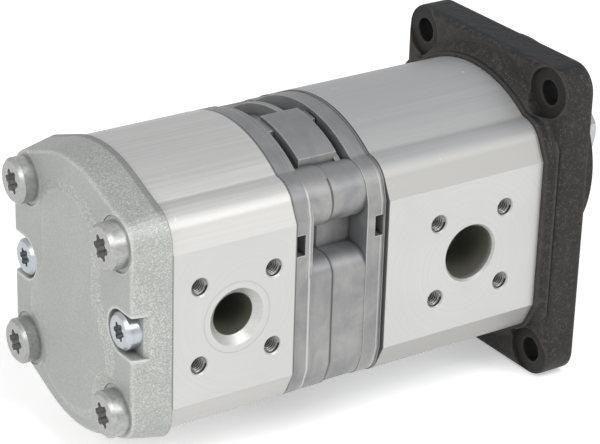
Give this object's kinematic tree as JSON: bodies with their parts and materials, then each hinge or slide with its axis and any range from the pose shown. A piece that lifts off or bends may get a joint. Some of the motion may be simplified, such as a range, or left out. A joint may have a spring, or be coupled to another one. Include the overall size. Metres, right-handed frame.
{
  "type": "gear pump",
  "caption": "Tandem external gear pump with a bolted stack of aluminium bodies between a cast iron flange and a cast cover, driven by a tapered shaft.",
  "frame": {"origin": "centre of the pilot where it meets the mounting face, on the drive shaft's axis", "axes": "+X along the drive shaft, out of the drive end; -Y out of the suction port faces; +Z from the driven gears to the drive shaft, up as pictured"},
  "size_m": [0.2236, 0.0908, 0.1188],
  "materials": {
    "black_iron": "blackened casting, machined mounting face",
    "body_aluminium": "extruded, satin, fine lines along the shaft",
    "die_cast_aluminium": "die cast, dull bluish grey",
    "sand_cast_aluminium": "rough casting, shot blasted",
    "ground_steel": "ground",
    "block_aluminium": "machined",
    "bearing_bronze": "plain bearing lining",
    "seal_rubber": "moulded black rubber",
    "backup_plastic": "natural off-white",
    "spring_steel": "phosphated",
    "bolt_steel": "dull grey coating",
    "zinc_steel": "bright zinc plated",
    "key_steel": "drawn key steel"
  },
  "bodies": {
    "housing": {"front_flange": "black_iron", "front_body": "body_aluminium", "mid_housing": "die_cast_aluminium", "rear_body": "body_aluminium", "rear_cover": "sand_cast_aluminium", "front_outer_block": "block_aluminium", "front_inner_block": "block_aluminium", "rear_inner_block": "block_aluminium", "rear_outer_block": "block_aluminium", "front_bearing_sleeves": "bearing_bronze", "rear_bearing_sleeves": "bearing_bronze", "front_field_seals": "seal_rubber", "rear_field_seals": "seal_rubber", "front_backup_rings": "backup_plastic", "rear_backup_rings": "backup_plastic", "flange_joint_seal": "seal_rubber", "front_mid_seal": "seal_rubber", "rear_mid_seal": "seal_rubber", "cover_joint_seal": "seal_rubber", "shaft_seal": "seal_rubber", "seal_retaining_ring": "spring_steel", "stage_seal": "seal_rubber", "through_bolts": "bolt_steel", "cover_screws": "zinc_steel", "dowel_pins": "ground_steel"},
    "drive_line": {"drive_shaft": "ground_steel", "shaft_key": "key_steel", "shaft_nut": "zinc_steel", "nut_washer": "spring_steel", "coupling_sleeve": "ground_steel", "rear_drive_gear": "ground_steel"},
    "front_driven": {"front_driven_gear": "ground_steel"},
    "rear_driven": {"rear_driven_gear": "ground_steel"}
  },
  "joints": [
    {"name": "drive_spin", "type": "hinge", "parent": "housing", "child": "drive_line", "pos_m": [0, 0, 0], "axis": [1, 0, 0], "continuous": true},
    {"name": "front_driven_spin", "type": "hinge", "parent": "housing", "child": "front_driven", "pos_m": [-0.05, 0, -0.031], "axis": [1, 0, 0], "continuous": true},
    {"name": "rear_driven_spin", "type": "hinge", "parent": "housing", "child": "rear_driven", "pos_m": [-0.14, 0, -0.031], "axis": [1, 0, 0], "continuous": true}
  ],
  "couplings": [
    {"joint": "front_driven_spin", "follows": "drive_spin", "ratio": -1},
    {"joint": "rear_driven_spin", "follows": "drive_spin", "ratio": -1}
  ]
}
